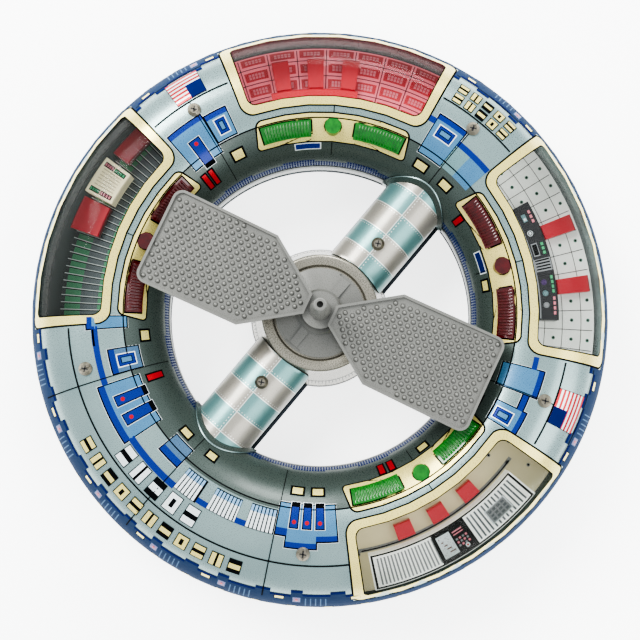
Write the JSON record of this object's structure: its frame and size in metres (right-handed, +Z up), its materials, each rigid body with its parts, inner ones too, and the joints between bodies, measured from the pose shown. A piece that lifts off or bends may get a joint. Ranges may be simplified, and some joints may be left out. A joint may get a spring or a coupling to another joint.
{
  "type": "tin toy space station",
  "caption": "Ring-shaped tin toy space station with windowed rooms, two spokes, a hub and a turning antenna; runs on a swivelling drive truck.",
  "frame": {"origin": "on the ring axis at floor level, under the hub", "axes": "+Z up along the ring and rotor axis; the two spokes lie along Y, the plain battery sector is at -Y"},
  "size_m": [0.29, 0.29, 0.1],
  "materials": {
    "litho_tin": "lithographed tin, semi gloss",
    "hub_tin": "lithographed tin, cream and silver",
    "base_tin": "dark painted tin",
    "grey_plastic": "satin moulded plastic",
    "clear_plastic": "clear plastic sheet",
    "liner_red_room": "printed tin",
    "liner_green_room": "printed tin",
    "liner_grey_room": "printed tin",
    "liner_cream_room": "printed tin",
    "green_lens": "translucent plastic",
    "red_lens": "translucent plastic",
    "red_tin": "painted tin",
    "cream_tin": "printed tin",
    "black_tin": "printed tin",
    "silver_tin": "printed tin",
    "bulb_glass": "clear glass",
    "brass": "plain",
    "steel": "plated",
    "battery_box": "moulded plastic",
    "cell": "printed jacket",
    "wire": "insulated",
    "black_plastic": "moulded plastic",
    "red_plastic": "moulded plastic",
    "gear_plastic": "moulded nylon",
    "rubber": "plain rubber"
  },
  "bodies": {
    "hull": {"ring_shell": "litho_tin", "spoke_cover_front": "litho_tin", "spoke_cover_rear": "litho_tin", "hub_shell": "hub_tin", "base_pan": "base_tin", "hub_cap": "grey_plastic", "window_red_room": "clear_plastic", "liner_red_room": "liner_red_room", "window_green_room": "clear_plastic", "liner_green_room": "liner_green_room", "window_grey_room": "clear_plastic", "liner_grey_room": "liner_grey_room", "window_cream_room": "clear_plastic", "liner_cream_room": "liner_cream_room", "lens_red_room": "green_lens", "lens_cream_room": "green_lens", "lens_grey_room": "red_lens", "lens_green_room": "red_lens", "red_room_bench": "red_tin", "red_room_seats": "red_tin", "green_room_console": "cream_tin", "green_room_seats": "red_tin", "grey_room_console": "black_tin", "grey_room_seats": "red_tin", "cream_room_console": "silver_tin", "cream_room_seats": "red_tin", "lamp_bulbs": "bulb_glass", "lamp_sockets": "brass", "screw_posts": "steel", "cover_screws": "steel", "battery_box": "battery_box", "battery_contacts": "brass", "battery_1": "cell", "battery_2": "cell", "wires": "wire", "gear_plates": "steel", "gear_posts": "steel", "motor_can": "steel", "switch_case": "black_plastic"},
    "rotor": {"mast": "grey_plastic", "rotor_shaft": "steel", "paddle_left": "grey_plastic", "paddle_right": "grey_plastic", "main_gear": "gear_plastic", "truck_pinion": "brass"},
    "idler": {"idler_gear": "gear_plastic"},
    "motor_rotor": {"motor_spindle": "brass"},
    "truck": {"truck_frame": "steel"},
    "drive_wheelset": {"drive_axle": "steel", "drive_wheels": "red_plastic", "drive_tyres": "rubber", "crown_gear": "gear_plastic"},
    "door": {"battery_door": "base_tin"},
    "switch": {"switch_knob": "red_plastic"},
    "caster_1": {"caster_fork_1": "steel"},
    "roller_1": {"caster_wheel_1": "rubber"},
    "caster_2": {"caster_fork_2": "steel"},
    "roller_2": {"caster_wheel_2": "rubber"},
    "caster_3": {"caster_fork_3": "steel"},
    "roller_3": {"caster_wheel_3": "rubber"}
  },
  "joints": [
    {"name": "rotor_spin", "type": "hinge", "parent": "hull", "child": "rotor", "pos_m": [0, 0, 0.06], "axis": [0, 0, 1], "continuous": true},
    {"name": "idler_spin", "type": "hinge", "parent": "hull", "child": "idler", "pos_m": [-0.01079, 0.01113, 0.04], "axis": [0, 0, 1], "continuous": true},
    {"name": "motor_spin", "type": "hinge", "parent": "hull", "child": "motor_rotor", "pos_m": [-0.0175, 0, 0.035], "axis": [0, 0, 1], "continuous": true},
    {"name": "truck_swivel", "type": "hinge", "parent": "hull", "child": "truck", "pos_m": [0, 0, 0.021], "axis": [0, 0, 1], "continuous": true},
    {"name": "wheel_spin", "type": "hinge", "parent": "truck", "child": "drive_wheelset", "pos_m": [0, 0, 0.01], "axis": [1, 0, 0], "continuous": true},
    {"name": "battery_door_hinge", "type": "hinge", "parent": "hull", "child": "door", "pos_m": [0, -0.0962, 0.0072], "axis": [1, 0, 0], "range_deg": [0, 100]},
    {"name": "switch_slide", "type": "slide", "parent": "hull", "child": "switch", "axis": [1, 0, 0], "range_m": [0, 0.004]},
    {"name": "caster_swivel_1", "type": "hinge", "parent": "hull", "child": "caster_1", "pos_m": [0, 0.104, 0.008], "axis": [0, 0, 1], "continuous": true},
    {"name": "caster_roll_1", "type": "hinge", "parent": "caster_1", "child": "roller_1", "pos_m": [0, 0.1005, 0.0028], "axis": [-1, 0, 0], "continuous": true},
    {"name": "caster_swivel_2", "type": "hinge", "parent": "hull", "child": "caster_2", "pos_m": [-0.09007, -0.052, 0.008], "axis": [0, 0, 1], "continuous": true},
    {"name": "caster_roll_2", "type": "hinge", "parent": "caster_2", "child": "roller_2", "pos_m": [-0.08704, -0.05025, 0.0028], "axis": [0.5, -0.866, 0], "continuous": true},
    {"name": "caster_swivel_3", "type": "hinge", "parent": "hull", "child": "caster_3", "pos_m": [0.09007, -0.052, 0.008], "axis": [0, 0, 1], "continuous": true},
    {"name": "caster_roll_3", "type": "hinge", "parent": "caster_3", "child": "roller_3", "pos_m": [0.08704, -0.05025, 0.0028], "axis": [0.5, 0.866, 0], "continuous": true}
  ],
  "couplings": [
    {"joint": "idler_spin", "follows": "rotor_spin", "ratio": -4.1667},
    {"joint": "motor_spin", "follows": "rotor_spin", "ratio": 13.889},
    {"joint": "wheel_spin", "follows": "rotor_spin", "ratio": -0.45}
  ]
}
